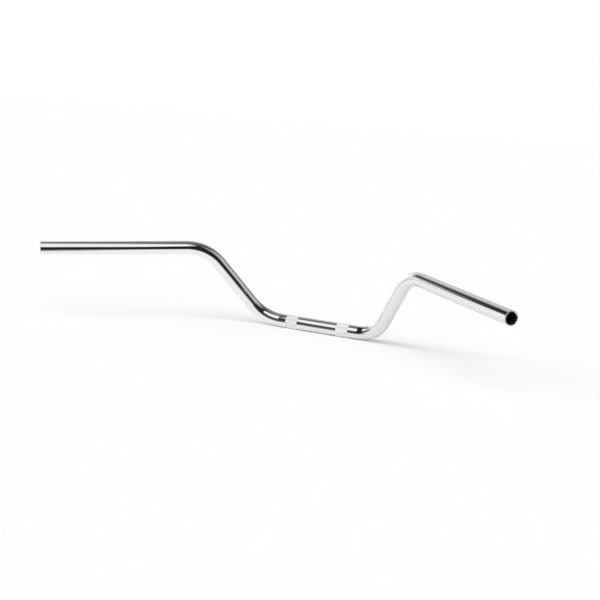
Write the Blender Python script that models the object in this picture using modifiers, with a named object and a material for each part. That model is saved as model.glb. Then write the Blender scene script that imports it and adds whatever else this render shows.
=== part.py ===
"""A bare motorcycle handlebar, drawn from one steel tube.

The tube is bent four times, is open at both ends and carries two rolled knurls, where the risers' clamps hold it.
+X is the rider's right, +Y is forwards and +Z is up. The origin is under the middle of the clamp section.
Run it with blender --background --python part.py, or from Blender's text editor.
"""

import math

import bmesh
import bpy
from mathutils import Vector

# Driving dimensions, in metres.
TUBE_DIAMETER = 0.0222       # outside of the tube, the usual 7/8 inch
TUBE_WALL = 0.0020
MOUTH_CHAMFER = 0.00045      # breaks the inner and outer edge of each cut end

CLAMP_HALF = 0.1043          # middle of the bar to the corner of the lower bend
RISE_OUT = 0.0783            # lower corner to upper corner, one value an axis
RISE_BACK = 0.0684
RISE_UP = 0.1171
GRIP_OUT = 0.2186            # upper corner to the cut end, one value an axis
GRIP_BACK = 0.1597
GRIP_DROP = 0.0120
LOWER_BEND_RADIUS = 0.0596   # both radii are of the tube's centre line
UPPER_BEND_RADIUS = 0.0712

KNURL_CENTRE = 0.0465        # middle of the bar to the middle of a knurl
KNURL_WIDTH = 0.0215
KNURL_CREST = 0.00010        # crests stand this far out of the tube's surface
KNURL_ROOT = 0.00030         # roots are pressed this far into it

# Fineness of the mesh.
TUBE_SIDES = 40
BORE_SIDES = 20
BEND_STEP = math.radians(7.5)
CHAMFER_SEGMENTS = 2
CHAMFERED_EDGE_ANGLE = math.radians(70.0)
SMOOTH_ANGLE = math.radians(35.0)
WELD_DISTANCE = 0.000001

# Sizes that follow.
TUBE_RADIUS = TUBE_DIAMETER / 2.0
BORE_RADIUS = TUBE_RADIUS - TUBE_WALL
FACET_ANGLE = 2.0 * math.pi / TUBE_SIDES
AXIS_HEIGHT = TUBE_RADIUS * math.cos(FACET_ANGLE / 2.0)   # the lowest facet lies at z = 0
KNURL_START = KNURL_CENTRE - KNURL_WIDTH / 2.0
KNURL_STEPS = 2 * round(KNURL_WIDTH / (TUBE_RADIUS * FACET_ANGLE) / 2.0)
KNURL_STEP = KNURL_WIDTH / KNURL_STEPS
CUTTER_OVERSHOOT = TUBE_DIAMETER / 2.0

CHROME_COLOUR = (0.80, 0.81, 0.82, 1.0)
CHROME_ROUGHNESS = 0.06


def clear_scene():
    for old in list(bpy.data.objects):
        bpy.data.objects.remove(old, do_unlink=True)


def new_collection(name):
    collection = bpy.data.collections.new(name)
    bpy.context.scene.collection.children.link(collection)
    return collection


def chrome_material():
    material = bpy.data.materials.new("chrome_plate")
    material.use_nodes = True
    shader = material.node_tree.nodes["Principled BSDF"]
    shader.inputs["Base Color"].default_value = CHROME_COLOUR
    shader.inputs["Metallic"].default_value = 1.0
    shader.inputs["Roughness"].default_value = CHROME_ROUGHNESS
    material.diffuse_color = CHROME_COLOUR
    return material


def bend_points(before, corner, after, radius):
    """The points of an arc that rounds the corner between two straight runs."""
    run_in = (corner - before).normalized()
    run_out = (after - corner).normalized()
    bend = run_in.angle(run_out)
    tangent_length = radius * math.tan(bend / 2.0)
    start = corner - run_in * tangent_length
    inward = (run_out - run_in * run_in.dot(run_out)).normalized()
    centre = start + inward * radius
    steps = math.ceil(bend / BEND_STEP)
    points = []
    for step in range(steps + 1):
        angle = bend * step / steps
        points.append(centre - inward * (radius * math.cos(angle)) + run_in * (radius * math.sin(angle)))
    return points


def half_path():
    """The centre line from the middle of the bar to its right end, about the clamp section's axis."""
    middle = Vector((0.0, 0.0, 0.0))
    lower_corner = Vector((CLAMP_HALF, 0.0, 0.0))
    upper_corner = lower_corner + Vector((RISE_OUT, -RISE_BACK, RISE_UP))
    end = upper_corner + Vector((GRIP_OUT, -GRIP_BACK, -GRIP_DROP))
    path = [middle]
    path += bend_points(middle, lower_corner, upper_corner, LOWER_BEND_RADIUS)
    path += bend_points(lower_corner, upper_corner, end, UPPER_BEND_RADIUS)
    path.append(end)
    return path


def both_halves(path):
    left = [Vector((-point.x, point.y, point.z)) for point in reversed(path[1:])]
    return left + path


def with_knurl_rings(path):
    """Adds a point for every ring of the knurl, on the straight run that follows the middle of the bar."""
    rings = [Vector((KNURL_START + KNURL_STEP * step, 0.0, 0.0)) for step in range(KNURL_STEPS + 1)]
    return path[:1] + rings + path[1:]


def with_longer_end(path):
    along = (path[-1] - path[-2]).normalized()
    return path[:-1] + [path[-1] + along * CUTTER_OVERSHOOT]


def tube_object(name, path, radius, sides, collection):
    """A closed round bar along a path, as a mesh whose facets face straight down and up on the clamp section."""
    curve = bpy.data.curves.new(name + "_path", "CURVE")
    curve.dimensions = "3D"
    curve.twist_mode = "Z_UP"
    curve.bevel_depth = radius
    curve.bevel_resolution = sides // 2 - 2
    curve.use_fill_caps = True
    spline = curve.splines.new("POLY")
    spline.points.add(len(path) - 1)
    for point, place in zip(spline.points, path):
        point.co = (place.x, place.y, place.z, 1.0)
        point.tilt = math.pi / sides
    drawn = bpy.data.objects.new(name + "_path", curve)
    collection.objects.link(drawn)
    drawn.location = (0.0, 0.0, AXIS_HEIGHT)
    bpy.context.view_layer.update()

    evaluated = drawn.evaluated_get(bpy.context.evaluated_depsgraph_get())
    mesh = bpy.data.meshes.new_from_object(evaluated)
    mesh.name = name
    tube = bpy.data.objects.new(name, mesh)
    collection.objects.link(tube)
    tube.matrix_world = drawn.matrix_world.copy()
    bpy.data.objects.remove(drawn, do_unlink=True)
    bpy.data.curves.remove(curve)

    shape = bmesh.new()
    shape.from_mesh(mesh)
    bmesh.ops.remove_doubles(shape, verts=shape.verts, dist=WELD_DISTANCE)
    bmesh.ops.recalc_face_normals(shape, faces=shape.faces)
    shape.to_mesh(mesh)
    shape.free()
    return tube


def roll_knurls(tube):
    """Presses a diamond knurl into both clamp bands: crests and roots take turns, round the tube and along it."""
    shape = bmesh.new()
    shape.from_mesh(tube.data)
    rolled = set()
    for vertex in shape.verts:
        ring = (abs(vertex.co.x) - KNURL_START) / KNURL_STEP
        if ring < 0.5 or ring > KNURL_STEPS - 0.5:
            continue
        spoke = Vector((0.0, vertex.co.y, vertex.co.z))
        side = math.atan2(spoke.z, spoke.y) / FACET_ANGLE - 0.5
        is_crest = (round(ring) + round(side)) % 2 == 0
        vertex.co += spoke.normalized() * (KNURL_CREST if is_crest else -KNURL_ROOT)
        rolled.update(vertex.link_faces)
    # A root-to-root diagonal is the shorter one, so each crest becomes a four-sided point.
    bmesh.ops.triangulate(shape, faces=list(rolled), quad_method="SHORT_EDGE")
    shape.to_mesh(tube.data)
    shape.free()


def cut_bore(tube, cutter):
    cutter.hide_render = True
    cutter.display_type = "WIRE"
    cut = tube.modifiers.new("bore", "BOOLEAN")
    cut.operation = "DIFFERENCE"
    cut.solver = "EXACT"
    cut.object = cutter


def chamfer_mouths(tube):
    chamfer = tube.modifiers.new("mouth_chamfer", "BEVEL")
    chamfer.width = MOUTH_CHAMFER
    chamfer.segments = CHAMFER_SEGMENTS
    chamfer.use_clamp_overlap = False
    chamfer.limit_method = "ANGLE"
    chamfer.angle_limit = CHAMFERED_EDGE_ANGLE


def build_handlebar():
    clear_scene()
    parts = new_collection("handlebar")
    cutters = new_collection("cutters")
    path = half_path()

    bar_tube = tube_object("bar_tube", both_halves(with_knurl_rings(path)), TUBE_RADIUS, TUBE_SIDES, parts)
    bar_tube.data.materials.append(chrome_material())
    roll_knurls(bar_tube)
    bar_tube.data.shade_smooth()
    bar_tube.data.set_sharp_from_angle(angle=SMOOTH_ANGLE)

    bore = tube_object("bore_cutter", both_halves(with_longer_end(path)), BORE_RADIUS, BORE_SIDES, cutters)
    cut_bore(bar_tube, bore)
    chamfer_mouths(bar_tube)


build_handlebar()
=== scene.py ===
"""The looks of a bare, chrome-plated motorcycle handlebar on a plain pale floor.

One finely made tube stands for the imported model's plain one. Lengths are in metres and +Z is up.
"""

from collections import namedtuple
import math

import bpy
import numpy as np
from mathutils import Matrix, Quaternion, Vector


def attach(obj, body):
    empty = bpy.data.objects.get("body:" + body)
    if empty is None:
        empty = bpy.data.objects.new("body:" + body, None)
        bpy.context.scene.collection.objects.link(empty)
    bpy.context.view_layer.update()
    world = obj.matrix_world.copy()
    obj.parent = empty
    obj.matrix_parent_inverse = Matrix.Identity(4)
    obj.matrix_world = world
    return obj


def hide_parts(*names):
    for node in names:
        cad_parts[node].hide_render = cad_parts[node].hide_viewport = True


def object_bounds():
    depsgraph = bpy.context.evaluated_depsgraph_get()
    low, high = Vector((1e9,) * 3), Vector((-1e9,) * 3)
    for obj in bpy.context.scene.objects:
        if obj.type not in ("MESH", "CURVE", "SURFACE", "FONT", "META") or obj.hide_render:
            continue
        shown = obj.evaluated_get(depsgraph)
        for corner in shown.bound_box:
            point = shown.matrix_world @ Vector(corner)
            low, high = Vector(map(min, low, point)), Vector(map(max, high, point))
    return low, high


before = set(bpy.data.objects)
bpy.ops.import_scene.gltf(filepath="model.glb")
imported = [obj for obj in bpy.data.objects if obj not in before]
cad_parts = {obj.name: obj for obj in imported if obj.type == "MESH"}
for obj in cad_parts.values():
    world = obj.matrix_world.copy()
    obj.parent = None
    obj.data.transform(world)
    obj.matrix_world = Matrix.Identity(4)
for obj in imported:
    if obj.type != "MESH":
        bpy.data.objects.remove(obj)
cad_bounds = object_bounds()

# The bar's driving sizes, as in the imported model.
TUBE_RADIUS = 0.0111
BORE_RADIUS = 0.0091
CLAMP_HALF = 0.1043           # middle of the bar to the corner of the lower bend
RISE_OUT = 0.0783             # lower corner to upper corner, one value an axis
RISE_BACK = 0.0684
RISE_UP = 0.1171
GRIP_OUT = 0.2186             # upper corner to the cut end, one value an axis
GRIP_BACK = 0.1597
GRIP_DROP = 0.0120
LOWER_BEND_RADIUS = 0.0596
UPPER_BEND_RADIUS = 0.0712
CAD_SIDES = 40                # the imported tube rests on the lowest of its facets
AXIS_HEIGHT = TUBE_RADIUS * math.cos(math.pi / CAD_SIDES)

# The cut ends.
OUTER_EDGE_RADIUS = 0.0005
INNER_CHAMFER = 0.0007

# The rolled knurl: grooves cross each other along two helices.
KNURL_CENTRE = 0.0465
KNURL_WIDTH = 0.0215
KNURL_START = KNURL_CENTRE - KNURL_WIDTH / 2.0
DIAMONDS_ROUND = 44
DIAMONDS_ALONG = 9
KNURL_CREST = 0.00010         # crests stand this far out of the tube's surface
KNURL_GROOVE = 0.00032        # from a crest down to the bottom of a groove
GROOVE_SHARE = 0.55           # of a diamond's width
KNURL_EDGE_FADE = 0.0008      # the wheel's rounded edge

# Fineness of the mesh.
SIDES = 4 * DIAMONDS_ROUND
BEND_STEP = math.radians(2.5)
STRAIGHT_STEP = 0.012
KNURL_RINGS = 8 * DIAMONDS_ALONG
EDGE_STEPS = 4
NEARLY = 1e-9                 # closer than this is no distance

RIGHT_ANGLE = math.pi / 2.0
FULL_TURN = 2.0 * math.pi
WHITE = (1.0, 1.0, 1.0, 1.0)

# The mesh attribute that holds each point's place on the tube as if it were drawn out straight along X.
STRAIGHTENED = "straightened_tube"

# A ring of points round the tube. It has two normals a point, for the faces before and after it, and they
# differ only where the ring lies on an edge.
Ring = namedtuple("Ring", "points straightened zone normals_before normals_after")


# ---------------------------------------------------------------- the centre line

def rounded_corner(before, corner, after, radius):
    """Places and directions along the arc that rounds a corner."""
    run_in = (corner - before).normalized()
    run_out = (after - corner).normalized()
    bend = run_in.angle(run_out)
    start = corner - run_in * (radius * math.tan(bend / 2.0))
    inward = (run_out - run_in * run_in.dot(run_out)).normalized()
    centre = start + inward * radius
    steps = math.ceil(bend / BEND_STEP)
    arc = []
    for step in range(steps + 1):
        angle = bend * step / steps
        place = centre - inward * (radius * math.cos(angle)) + run_in * (radius * math.sin(angle))
        direction = run_in * math.cos(angle) + inward * math.sin(angle)
        arc.append((place, direction))
    return arc


def straight_run(start, end):
    """Places and directions between two points, both left out."""
    direction = (end - start).normalized()
    steps = max(1, round((end - start).length / STRAIGHT_STEP))
    return [(start.lerp(end, step / steps), direction) for step in range(1, steps)]


def right_half():
    """Places and directions from the middle of the bar to its right end, the closest along the knurl."""
    middle = Vector((0.0, 0.0, AXIS_HEIGHT))
    lower_corner = middle + Vector((CLAMP_HALF, 0.0, 0.0))
    upper_corner = lower_corner + Vector((RISE_OUT, -RISE_BACK, RISE_UP))
    end = upper_corner + Vector((GRIP_OUT, -GRIP_BACK, -GRIP_DROP))
    lower_bend = rounded_corner(middle, lower_corner, upper_corner, LOWER_BEND_RADIUS)
    upper_bend = rounded_corner(lower_corner, upper_corner, end, UPPER_BEND_RADIUS)
    along_x = Vector((1.0, 0.0, 0.0))
    stations = [(middle, along_x)]
    stations += straight_run(middle, middle + along_x * KNURL_START)
    for ring in range(KNURL_RINGS + 1):
        stations.append((middle + along_x * (KNURL_START + KNURL_WIDTH * ring / KNURL_RINGS), along_x))
    stations += lower_bend
    stations += straight_run(lower_bend[-1][0], upper_bend[0][0])
    stations += upper_bend
    stations += straight_run(upper_bend[-1][0], end)
    stations.append((end, (end - upper_corner).normalized()))
    return stations


def whole_line():
    """Places and directions from the left end to the right end."""
    right = right_half()
    left = []
    for place, direction in reversed(right[1:]):
        mirrored = Vector((-place.x, place.y, place.z))
        left.append((mirrored, Vector((direction.x, -direction.y, -direction.z))))
    return left + right


def line_distances(line):
    """How far each station lies along the centre line from the left end."""
    distances = [0.0]
    for (before, _), (after, _) in zip(line, line[1:]):
        distances.append(distances[-1] + (after - before).length)
    return distances


# ---------------------------------------------------------------- the tube's surface

def along_knurl(place):
    """How far a place on the centre line lies past its knurl's inner edge, or None if no knurl is there."""
    along = abs(place.x) - KNURL_START
    on_clamp_section = abs(place.y) < NEARLY
    return along if on_clamp_section and -NEARLY <= along <= KNURL_WIDTH + NEARLY else None


def knurl_relief(along, angle):
    """How far the knurl stands out of the tube, at a distance from its inner edge and an angle round it."""
    edge = max(0.0, min(along, KNURL_WIDTH - along))
    fade = min(1.0, edge / KNURL_EDGE_FADE)
    turns = DIAMONDS_ROUND * angle / FULL_TURN
    pitches = DIAMONDS_ALONG * along / KNURL_WIDTH
    deepest = 0.0
    for helix in (turns + pitches, turns - pitches):
        from_groove = abs(helix - round(helix))
        deepest = max(deepest, 1.0 - from_groove / (GROOVE_SHARE / 2.0))
    return fade * (KNURL_CREST - KNURL_GROOVE * deepest)


def ring_frame(direction):
    """The sideways and upwards directions across the tube."""
    side = direction.cross(Vector((0.0, 0.0, 1.0))).normalized()
    return side, side.cross(direction)


def mouth_profile():
    """Insets, radii and the normals' tilts before and after, from the skin round the cut end to the bore."""
    profile = []
    for step in range(EDGE_STEPS + 1):
        tilt = RIGHT_ANGLE * step / EDGE_STEPS
        inset = OUTER_EDGE_RADIUS * (1.0 - math.sin(tilt))
        radius = TUBE_RADIUS - OUTER_EDGE_RADIUS * (1.0 - math.cos(tilt))
        profile.append((inset, radius, tilt, tilt))
    chamfer_tilt = 1.5 * RIGHT_ANGLE
    profile.append((0.0, BORE_RADIUS + INNER_CHAMFER, RIGHT_ANGLE, chamfer_tilt))
    profile.append((INNER_CHAMFER, BORE_RADIUS, chamfer_tilt, math.pi))
    return profile


def tube_rings():
    """Rings of a closed skin: the outside, the right mouth, the bore on the way back and the left mouth."""
    line = whole_line()
    distances = line_distances(line)
    rings = []

    def add(station, radii, zone, tilts=(0.0, 0.0), outwards=1.0, inset=0.0):
        place, direction = line[station]
        middle = place - direction * (inset * outwards)
        along = distances[station] - inset * outwards
        side, up = ring_frame(direction)
        points = []
        straightened = []
        normals = ([], [])
        for index in range(SIDES):
            angle = FULL_TURN * index / SIDES
            radius = radii(angle)
            spoke = side * math.cos(angle) + up * math.sin(angle)
            points.append(middle + spoke * radius)
            straightened.append((along, radius * math.cos(angle), radius * math.sin(angle)))
            for tilt, tilted in zip(tilts, normals):
                tilted.append(spoke * math.cos(tilt) + direction * (outwards * math.sin(tilt)))
        rings.append(Ring(points, straightened, zone, *normals))

    def add_mouth(station, outwards):
        profile = mouth_profile()
        if outwards < 0.0:
            profile = [(inset, radius, after, before) for inset, radius, before, after in reversed(profile)]
        for inset, radius, before, after in profile:
            add(station, lambda angle, r=radius: r, "cut_end", (before, after), outwards, inset)

    last = len(line) - 1
    for station in range(1, last):
        place, _ = line[station]
        along = along_knurl(place)
        if along is None:
            add(station, lambda angle: TUBE_RADIUS, "polished")
        else:
            mirror = 1.0 if place.x > 0.0 else -1.0
            add(station, lambda a, s=along, m=mirror: TUBE_RADIUS + knurl_relief(s, m * a), "knurl")
    add_mouth(last, 1.0)
    for station in range(last - 1, 0, -1):
        place, _ = line[station]
        along = along_knurl(place)
        # The bore is smooth under the knurls, so only their first and last rings are needed there.
        if along is None or min(along, KNURL_WIDTH - along) < NEARLY:
            add(station, lambda angle: BORE_RADIUS, "bore", (math.pi, math.pi))
    add_mouth(0, -1.0)
    return rings


def face_zone(first, second):
    """A face between two rings of unlike zones belongs to the polished skin or to the bore."""
    if first == second:
        return first
    return next(zone for zone in ("polished", "bore") if zone in (first, second))


def build_tube(materials):
    rings = tube_rings()
    points = [point for ring in rings for point in ring.points]
    straightened = [place for ring in rings for place in ring.straightened]
    faces = []
    slots = []
    corner_normals = []
    order = list(materials)
    for number, ring in enumerate(rings):
        next_number = (number + 1) % len(rings)
        next_ring = rings[next_number]
        slot = order.index(face_zone(ring.zone, next_ring.zone))
        leaving = ring.normals_after
        arriving = next_ring.normals_before
        for index in range(SIDES):
            beside = (index + 1) % SIDES
            faces.append((
                number * SIDES + index,
                next_number * SIDES + index,
                next_number * SIDES + beside,
                number * SIDES + beside,
            ))
            slots.append(slot)
            corner_normals += [leaving[index], arriving[index], arriving[beside], leaving[beside]]
    mesh = bpy.data.meshes.new("handlebar_tube")
    mesh.from_pydata(points, [], faces)
    for name in order:
        mesh.materials.append(materials[name])
    mesh.polygons.foreach_set("material_index", slots)
    drawn_out = mesh.attributes.new(STRAIGHTENED, "FLOAT_VECTOR", "POINT")
    drawn_out.data.foreach_set("vector", np.array(straightened).ravel())
    mesh.shade_smooth()
    # The skin mirrors the room, so its normals come from the round form. The knurl's come from its faces.
    knurl_slot = order.index("knurl")
    for polygon in mesh.polygons:
        if polygon.material_index == knurl_slot:
            for corner in polygon.loop_indices:
                corner_normals[corner] = polygon.normal.copy()
    mesh.normals_split_custom_set(corner_normals)
    tube = bpy.data.objects.new("handlebar_tube", mesh)
    bpy.context.scene.collection.objects.link(tube)
    return tube


# ---------------------------------------------------------------- shader nodes

def feed(tree, value, socket):
    """Gives a socket a link from another socket, or a plain number."""
    if isinstance(value, bpy.types.NodeSocket):
        tree.links.new(value, socket)
    else:
        socket.default_value = value


def math_node(tree, operation, *values):
    node = tree.nodes.new("ShaderNodeMath")
    node.operation = operation
    for socket, value in zip(node.inputs, values):
        feed(tree, value, socket)
    return node.outputs[0]


def spread(tree, value, low, high, from_low=0.0, from_high=1.0):
    """Maps a value between two others, and holds it there."""
    node = tree.nodes.new("ShaderNodeMapRange")
    node.inputs["From Min"].default_value = from_low
    node.inputs["From Max"].default_value = from_high
    node.inputs["To Min"].default_value = low
    node.inputs["To Max"].default_value = high
    tree.links.new(value, node.inputs["Value"])
    return node.outputs["Result"]


def smooth_step(tree, value, low, high):
    """0 below the low value and 1 above the high one."""
    node = tree.nodes.new("ShaderNodeMapRange")
    node.interpolation_type = "SMOOTHSTEP"
    node.inputs["From Min"].default_value = low
    node.inputs["From Max"].default_value = high
    tree.links.new(value, node.inputs["Value"])
    return node.outputs["Result"]


def split_axes(tree, vector):
    node = tree.nodes.new("ShaderNodeSeparateXYZ")
    tree.links.new(vector, node.inputs[0])
    return node.outputs["X"], node.outputs["Y"], node.outputs["Z"]


def blend_colours(tree, factor, dark, light):
    node = tree.nodes.new("ShaderNodeMix")
    node.data_type = "RGBA"
    node.inputs["A"].default_value = dark
    node.inputs["B"].default_value = light
    tree.links.new(factor, node.inputs["Factor"])
    return node.outputs["Result"]


def mix_shaders(tree, factor, first, second):
    node = tree.nodes.new("ShaderNodeMixShader")
    tree.links.new(factor, node.inputs["Fac"])
    tree.links.new(first, node.inputs[1])
    tree.links.new(second, node.inputs[2])
    return node.outputs[0]


# ---------------------------------------------------------------- materials

MILLIMETRES = 1000.0          # in a metre

# Each noise has its swells a millimetre, along, across and up the straightened tube, and its detail.
# A range of roughness or metallic is what a pattern's 0 and 1 give, and two roughnesses add up.
CHROME_COLOUR = (0.86, 0.865, 0.87, 1.0)
CHROME_SHADE = (0.845, 0.85, 0.86, 1.0)
POLISH_SMEARS = ((0.02, 0.12, 0.12), 3.0)
POLISH_RINGS = ((6.0, 0.12, 0.12), 1.0)
POLISH_WAVES = ((0.05, 0.08, 0.08), 1.0)
SMEAR_ROUGHNESS = (0.02, 0.05)
RING_ROUGHNESS = (0.0, 0.02)
WAVE_DEPTH = 0.00002
RING_SHARE = 0.01             # of the waves' depth

# The knurl's near-white crest colour, with little metallic, is a painted glint in place of the plate's
# mirror. The darker groove colour is painted shade in the grooves.
KNURL_CREST_GLINT_COLOUR = (0.98, 0.98, 0.98, 1.0)
KNURL_GROOVE_SHADE_COLOUR = (0.84, 0.84, 0.85, 1.0)
KNURL_GRAIN = ((2.0, 2.0, 2.0), 3.0)
KNURL_ROUGHNESS = (0.38, 0.22)
GRAIN_ROUGHNESS = (0.0, 0.10)
KNURL_METALLIC = (0.15, 0.45)
KNURL_GRAIN_DEPTH = 0.00002

CUT_SMEARS = ((0.3, 0.3, 0.3), 3.0)
CUT_ROUGHNESS = (0.10, 0.22)
RINGS_PER_MM = 5.0
TURNING_DEPTH = 0.000002

BORE_LIGHT = (0.045, 0.042, 0.040, 1.0)
BORE_DARK = (0.012, 0.012, 0.012, 1.0)
BORE_MOTTLE = ((0.15, 0.5, 0.5), 4.0)
BORE_STREAKS = ((0.05, 2.5, 2.5), 2.0)
BORE_SCALE = (0.1, 0.4)       # both patterns' product, where the steel is darkest and lightest
BORE_ROUGHNESS = (0.75, 0.45)
BORE_METALLIC = 0.5
SCALE_DEPTH = 0.00005


def metal(name, colour, metallic=1.0):
    material = bpy.data.materials.new(name)
    material.use_nodes = True
    shader = material.node_tree.nodes["Principled BSDF"]
    shader.inputs["Base Color"].default_value = colour
    shader.inputs["Metallic"].default_value = metallic
    return material, material.node_tree, shader


def straightened_place(tree, stretch=(1.0, 1.0, 1.0)):
    """The place on the straightened tube, in millimetres, scaled to stretch a pattern."""
    place = tree.nodes.new("ShaderNodeAttribute")
    place.attribute_name = STRAIGHTENED
    scaled = tree.nodes.new("ShaderNodeVectorMath")
    scaled.operation = "MULTIPLY"
    scaled.inputs[1].default_value = [MILLIMETRES * share for share in stretch]
    tree.links.new(place.outputs["Vector"], scaled.inputs[0])
    return scaled.outputs["Vector"]


def noise(tree, stretch, detail):
    """Noise from 0 to 1, with one swell a millimetre where the stretch is 1."""
    node = tree.nodes.new("ShaderNodeTexNoise")
    node.inputs["Scale"].default_value = 1.0
    node.inputs["Detail"].default_value = detail
    tree.links.new(straightened_place(tree, stretch), node.inputs["Vector"])
    return node.outputs["Fac"]


def from_centre_line(tree):
    """The distance from the tube's centre line, in millimetres."""
    _, across, up = split_axes(tree, straightened_place(tree))
    squares = [math_node(tree, "MULTIPLY", side, side) for side in (across, up)]
    return math_node(tree, "SQRT", math_node(tree, "ADD", *squares))


def add_bump(tree, shader, height, depth):
    """Raises the surface by up to a depth in metres."""
    bump = tree.nodes.new("ShaderNodeBump")
    bump.inputs["Strength"].default_value = 1.0
    bump.inputs["Distance"].default_value = depth
    tree.links.new(height, bump.inputs["Height"])
    tree.links.new(bump.outputs["Normal"], shader.inputs["Normal"])


def polished_chrome():
    """Bright plate over a belt-polished tube: faint rings of polish, soft smears and a slight waviness."""
    material, tree, shader = metal("polished_chrome", CHROME_COLOUR)
    smears = noise(tree, *POLISH_SMEARS)
    rings = noise(tree, *POLISH_RINGS)
    waves = noise(tree, *POLISH_WAVES)
    colour = blend_colours(tree, smears, CHROME_SHADE, CHROME_COLOUR)
    tree.links.new(colour, shader.inputs["Base Color"])
    smear_roughness = spread(tree, smears, *SMEAR_ROUGHNESS)
    ring_roughness = spread(tree, rings, *RING_ROUGHNESS)
    roughness = math_node(tree, "ADD", smear_roughness, ring_roughness)
    tree.links.new(roughness, shader.inputs["Roughness"])
    height = math_node(tree, "ADD", waves, math_node(tree, "MULTIPLY", rings, RING_SHARE))
    add_bump(tree, shader, height, WAVE_DEPTH)
    return material


def knurled_chrome():
    """The knurl scatters light: bright crests over duller grooves. The crests' near-white colour is painted
    glint and the grooves' darker colour is painted shade.
    """
    material, tree, shader = metal("knurled_chrome", KNURL_CREST_GLINT_COLOUR)
    crest = MILLIMETRES * (TUBE_RADIUS + KNURL_CREST)
    groove = crest - MILLIMETRES * KNURL_GROOVE
    height = spread(tree, from_centre_line(tree), 0.0, 1.0, groove, crest)
    grain = noise(tree, *KNURL_GRAIN)
    # Painted glint and painted shade: the colour is near white on the crests and darker down in the grooves.
    colour = blend_colours(tree, height, KNURL_GROOVE_SHADE_COLOUR, KNURL_CREST_GLINT_COLOUR)
    tree.links.new(colour, shader.inputs["Base Color"])
    height_roughness = spread(tree, height, *KNURL_ROUGHNESS)
    grain_roughness = spread(tree, grain, *GRAIN_ROUGHNESS)
    roughness = math_node(tree, "ADD", height_roughness, grain_roughness)
    tree.links.new(roughness, shader.inputs["Roughness"])
    tree.links.new(spread(tree, height, *KNURL_METALLIC), shader.inputs["Metallic"])
    add_bump(tree, shader, grain, KNURL_GRAIN_DEPTH)
    return material


def cut_end_chrome():
    """Plate over the turned face of a cut end, with the tool's fine rings."""
    material, tree, shader = metal("cut_end_chrome", CHROME_COLOUR)
    rings = math_node(tree, "MULTIPLY", from_centre_line(tree), FULL_TURN * RINGS_PER_MM)
    turning = math_node(tree, "SINE", rings)
    smears = noise(tree, *CUT_SMEARS)
    tree.links.new(spread(tree, smears, *CUT_ROUGHNESS), shader.inputs["Roughness"])
    add_bump(tree, shader, turning, TURNING_DEPTH)
    return material


def bore_steel():
    """The unplated inside: dark drawn steel with mottled scale, streaked along the tube."""
    material, tree, shader = metal("bore_steel", BORE_LIGHT, BORE_METALLIC)
    mottle = noise(tree, *BORE_MOTTLE)
    streaks = noise(tree, *BORE_STREAKS)
    scale = math_node(tree, "MULTIPLY", mottle, streaks)
    lightness = spread(tree, scale, 0.0, 1.0, *BORE_SCALE)
    colour = blend_colours(tree, lightness, BORE_DARK, BORE_LIGHT)
    tree.links.new(colour, shader.inputs["Base Color"])
    tree.links.new(spread(tree, mottle, *BORE_ROUGHNESS), shader.inputs["Roughness"])
    add_bump(tree, shader, scale, SCALE_DEPTH)
    return material


def tube_materials():
    return {
        "polished": polished_chrome(),
        "knurl": knurled_chrome(),
        "cut_end": cut_end_chrome(),
        "bore": bore_steel(),
    }


# ---------------------------------------------------------------- the camera, at the photograph's viewpoint

CAMERA_PLACE = Vector((0.95542, -1.98865, 0.45426))
CAMERA_AZIMUTH = math.radians(26.535)
CAMERA_DOWN = math.radians(10.303)
CAMERA_ROLL = math.radians(3.670)
CAMERA_LENS = 81.29           # both in millimetres
SENSOR_WIDTH = 36.0
CAMERA_REACH = 50.0


def build_camera():
    data = bpy.data.cameras.new("camera")
    data.lens = CAMERA_LENS
    data.sensor_width = SENSOR_WIDTH
    data.sensor_fit = "HORIZONTAL"
    data.clip_end = CAMERA_REACH
    camera = bpy.data.objects.new("camera", data)
    bpy.context.scene.collection.objects.link(camera)
    look = Vector((
        -math.sin(CAMERA_AZIMUTH) * math.cos(CAMERA_DOWN),
        math.cos(CAMERA_AZIMUTH) * math.cos(CAMERA_DOWN),
        -math.sin(CAMERA_DOWN),
    ))
    level = look.to_track_quat("-Z", "Y")
    camera.rotation_mode = "QUATERNION"
    camera.rotation_quaternion = level @ Quaternion((0.0, 0.0, 1.0), CAMERA_ROLL)
    camera.location = CAMERA_PLACE
    bpy.context.scene.camera = camera


# ---------------------------------------------------------------- the floor

FLOOR_SIDE = 12.0
FLOOR_COLOUR = (0.93, 0.93, 0.93, 1.0)
CAMERA_LIFT = 0.13            # brings the unshadowed floor to white for the camera
# Mirror rays see the floor lifted too, by painted light: a glow that is stronger at the left, beside the
# white cards, and it changes between two X.
MIRROR_LIFT_LEFT = 0.15
MIRROR_LIFT_RIGHT = 0.03
MIRROR_LIFT_CHANGE = (-0.20, 0.20)
# For mirror rays the floor ends softly in front of the bar, between two Y, and fades out where they meet it
# at a flat angle, between the sines of two angles.
FLOOR_FRONT = (-0.47, -0.22)
FLOOR_STEEPNESS = (math.sin(math.radians(4.0)), math.sin(math.radians(30.0)))


def mirror_share(tree, front_to_back):
    """How much of the floor a mirror ray sees: 1 where it is lit, and 0 in its front and far parts."""
    facing = tree.nodes.new("ShaderNodeLayerWeight").outputs["Facing"]
    steepness = math_node(tree, "SUBTRACT", 1.0, facing)
    steep = smooth_step(tree, steepness, *FLOOR_STEEPNESS)
    behind_front = smooth_step(tree, front_to_back, *FLOOR_FRONT)
    return math_node(tree, "MULTIPLY", steep, behind_front)


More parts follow.
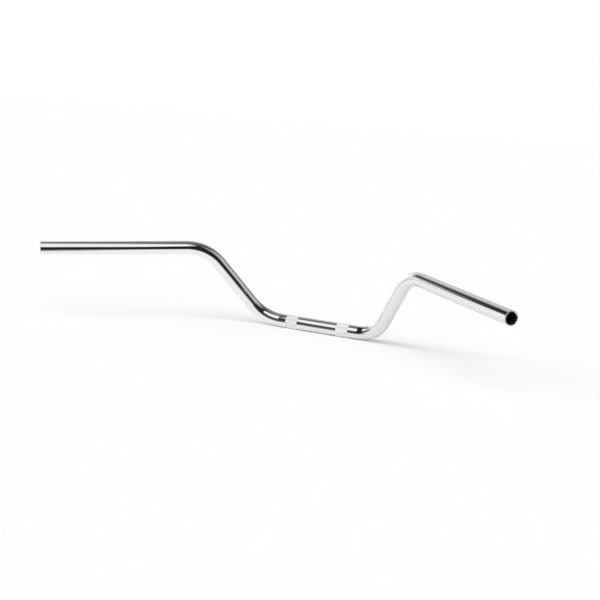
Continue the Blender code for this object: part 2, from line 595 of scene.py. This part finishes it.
def build_floor():
    """A pale floor. Mirror rays see the dark studio in place of its far and front parts."""
    bpy.ops.mesh.primitive_plane_add(size=FLOOR_SIDE, location=(0.0, 0.0, cad_bounds[0][2]))
    floor = bpy.context.object
    floor.name = "floor"
    material = bpy.data.materials.new("pale_floor")
    material.use_nodes = True
    tree = material.node_tree
    shader = tree.nodes["Principled BSDF"]
    shader.inputs["Base Color"].default_value = FLOOR_COLOUR
    shader.inputs["Roughness"].default_value = 1.0
    shader.inputs["Specular IOR Level"].default_value = 0.0
    shader.inputs["Emission Color"].default_value = WHITE

    rays = tree.nodes.new("ShaderNodeLightPath")
    place = tree.nodes.new("ShaderNodeNewGeometry")
    left_to_right, front_to_back, _ = split_axes(tree, place.outputs["Position"])
    # Painted light: a glow on the floor that only mirror rays see, stronger at the left.
    rightwards = smooth_step(tree, left_to_right, *MIRROR_LIFT_CHANGE)
    change = MIRROR_LIFT_RIGHT - MIRROR_LIFT_LEFT
    mirror_lift = math_node(tree, "MULTIPLY_ADD", rightwards, change, MIRROR_LIFT_LEFT)
    for_camera = math_node(tree, "MULTIPLY", rays.outputs["Is Camera Ray"], CAMERA_LIFT)
    for_mirror = math_node(tree, "MULTIPLY", rays.outputs["Is Glossy Ray"], mirror_lift)
    tree.links.new(math_node(tree, "ADD", for_camera, for_mirror), shader.inputs["Emission Strength"])

    unseen = math_node(tree, "SUBTRACT", 1.0, mirror_share(tree, front_to_back))
    passes = math_node(tree, "MULTIPLY", unseen, rays.outputs["Is Glossy Ray"])
    clear = tree.nodes.new("ShaderNodeBsdfTransparent")
    mixed = mix_shaders(tree, passes, shader.outputs[0], clear.outputs[0])
    tree.links.new(mixed, tree.nodes["Material Output"].inputs["Surface"])
    floor.data.materials.append(material)


# ---------------------------------------------------------------- the studio

# Pitch goes over the bar from the front horizon (0) by the zenith (90) to the back one (180), and yaw is how
# far to the right of it. An edge is a place and the width of its fade.

# The cards in the dark room that the chrome mirrors, far off. Each has its lower and upper pitch and its left
# and right yaw, as edges in degrees, and its brightness.
STUDIO_CARDS = {
    "under_softbox": ((-12, 12), (24, 8), (-27, 3), (10, 16), 0.06),
    "overhead": ((85, 14), (124, 14), (-28, 4), (20, 24), 0.19),
    "back_wall": ((126, 14), (164, 14), (-20, 14), (60, 14), 0.25),
    "back_left": ((126, 26), (172, 26), (-62, 26), (-16, 26), 0.68),
    "backdrop": ((171, 12), (275, 12), (-34, 12), (84, 8), 0.72),
    "left_backdrop": ((168, 12), (275, 12), (-76, 10), (-34, 12), 0.95),
    "right_card": ((78, 22), (144, 22), (37, 22), (84, 8), 0.46),
    "left_card": ((30, 10), (92, 12), (-76, 10), (-49, 6), 0.82),
    "left_high": ((103, 8), (136, 12), (-76, 10), (-63, 8), 0.55),
    "left_back": ((136, 12), (168, 12), (-76, 10), (-50, 12), 0.80),
    "left_low": ((-120, 10), (-2, 16), (-76, 10), (-44, 16), 0.90),
    "left_end": ((-130, 10), (280, 10), (-110, 10), (-76, 10), 0.98),
    "right_end": ((-130, 10), (280, 10), (84, 8), (110, 10), 0.40),
}
ROOM_LEVEL = 0.02             # the room's own brightness between the cards
EVEN_LEVEL = 0.41             # the world's light on matt surfaces
LOWEST_PITCH = math.radians(-100.0)   # below it, under the floor, the pitch goes on from 260 degrees

# The softbox that the chrome mirrors. It is a real panel, since the long bar sees its edges at other angles
# from end to end. Its edges are in metres on the clear plane that holds it, from the plane's middle.
SOFTBOX_PITCH = math.radians(56.0)
SOFTBOX_DISTANCE = 1.2
SOFTBOX_PLANE = 2.4
SOFTBOX_LEFT = (-0.658, 0.04)
SOFTBOX_RIGHT = (0.56, 0.10)
SOFTBOX_LOWER = (-0.64, 0.28)
SOFTBOX_UPPER = (0.316, 0.28)
SOFTBOX_SLANT = 0.24          # the upper edge falls to the right
SOFTBOX_LEVEL = 1.0

KEY_STRENGTH = 2.35
KEY_PITCH = math.radians(52.0)
# Each disc has its yaw and its width across, in degrees, and its share of the strength.
KEY_DISCS = ((-54.0, 24.0, 0.34), (-14.0, 44.0, 0.22), (8.0, 44.0, 0.28), (30.0, 44.0, 0.22))


def towards(pitch, yaw=0.0):
    """The direction from the bar to a place in the studio."""
    return Vector((math.sin(yaw), -math.cos(yaw) * math.cos(pitch), math.cos(yaw) * math.sin(pitch)))


def faded(edge):
    """Where an edge's fade starts and ends."""
    place, fade = edge
    return place - fade / 2.0, place + fade / 2.0


def edge_mask(tree, value, start, end):
    """1 between two edges and 0 outside them."""
    ramps = [smooth_step(tree, value, *faded(edge)) for edge in (start, end)]
    return math_node(tree, "SUBTRACT", *ramps)


def studio_level(tree):
    """The brightness of the room and its cards in the direction that a mirror ray takes."""
    direction = tree.nodes.new("ShaderNodeTexCoord")
    x, y, z = split_axes(tree, direction.outputs["Generated"])
    raw_pitch = math_node(tree, "ARCTAN2", z, math_node(tree, "MULTIPLY", y, -1.0))
    past_lowest = math_node(tree, "LESS_THAN", raw_pitch, LOWEST_PITCH)
    pitch = math_node(tree, "ADD", raw_pitch, math_node(tree, "MULTIPLY", past_lowest, FULL_TURN))
    yaw = math_node(tree, "ARCSINE", x)
    level = ROOM_LEVEL
    for *edges, brightness in STUDIO_CARDS.values():
        lower, upper, left, right = [tuple(map(math.radians, edge)) for edge in edges]
        over = edge_mask(tree, pitch, lower, upper)
        across = edge_mask(tree, yaw, left, right)
        card = math_node(tree, "MULTIPLY", math_node(tree, "MULTIPLY", over, across), brightness)
        level = math_node(tree, "ADD", card, level)
    return level


def background(tree, strength):
    node = tree.nodes.new("ShaderNodeBackground")
    node.inputs["Color"].default_value = WHITE
    feed(tree, strength, node.inputs["Strength"])
    return node.outputs[0]


def build_world():
    """White to the camera, even light on matt surfaces, and pale cards in a dark room for reflections."""
    world = bpy.data.worlds.new("studio")
    bpy.context.scene.world = world
    world.use_nodes = True
    tree = world.node_tree
    tree.nodes.clear()
    rays = tree.nodes.new("ShaderNodeLightPath")
    mirrored = background(tree, studio_level(tree))
    lighting = mix_shaders(tree, rays.outputs["Is Glossy Ray"], background(tree, EVEN_LEVEL), mirrored)
    seen = mix_shaders(tree, rays.outputs["Is Camera Ray"], lighting, background(tree, 1.0))
    output = tree.nodes.new("ShaderNodeOutputWorld")
    tree.links.new(seen, output.inputs["Surface"])


def build_softbox():
    """Only mirror rays see the panel. The key light stands for it on matt surfaces."""
    bpy.ops.mesh.primitive_plane_add(size=SOFTBOX_PLANE, location=towards(SOFTBOX_PITCH) * SOFTBOX_DISTANCE)
    panel = bpy.context.object
    panel.name = "softbox"
    panel.rotation_euler = (RIGHT_ANGLE - SOFTBOX_PITCH, 0.0, 0.0)
    panel.visible_camera = False
    panel.visible_diffuse = False
    panel.visible_transmission = False
    panel.visible_shadow = False
    material = bpy.data.materials.new("softbox")
    material.use_nodes = True
    tree = material.node_tree
    tree.nodes.remove(tree.nodes["Principled BSDF"])
    place = tree.nodes.new("ShaderNodeTexCoord")
    x, y, _ = split_axes(tree, place.outputs["Object"])
    across = edge_mask(tree, x, SOFTBOX_LEFT, SOFTBOX_RIGHT)
    slanted = math_node(tree, "MULTIPLY_ADD", x, SOFTBOX_SLANT, y)
    above_lower = smooth_step(tree, y, *faded(SOFTBOX_LOWER))
    above_upper = smooth_step(tree, slanted, *faded(SOFTBOX_UPPER))
    over = math_node(tree, "SUBTRACT", above_lower, above_upper)
    inside = math_node(tree, "MULTIPLY", across, over)
    glow = tree.nodes.new("ShaderNodeEmission")
    glow.inputs["Strength"].default_value = SOFTBOX_LEVEL
    clear = tree.nodes.new("ShaderNodeBsdfTransparent")
    mixed = mix_shaders(tree, inside, clear.outputs[0], glow.outputs[0])
    tree.links.new(mixed, tree.nodes["Material Output"].inputs["Surface"])
    panel.data.materials.append(material)


def build_key_light():
    """The softbox as the floor sees it: broad discs in a row, far off, so that the floor is lit evenly."""
    for number, (yaw, width, share) in enumerate(KEY_DISCS):
        data = bpy.data.lights.new("key_light_%d" % number, "SUN")
        data.energy = KEY_STRENGTH * share
        data.angle = math.radians(width)
        key = bpy.data.objects.new(data.name, data)
        bpy.context.scene.collection.objects.link(key)
        away = -towards(KEY_PITCH, math.radians(yaw))
        key.rotation_mode = "QUATERNION"
        key.rotation_quaternion = away.to_track_quat("-Z", "Y")
        key.visible_glossy = False


# ---------------------------------------------------------------- the scene


bpy.context.scene.view_settings.view_transform = "Standard"
build_camera()
tube = build_tube(tube_materials())
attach(tube, "root")
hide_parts("bar_tube")
build_floor()
build_world()
build_softbox()
build_key_light()
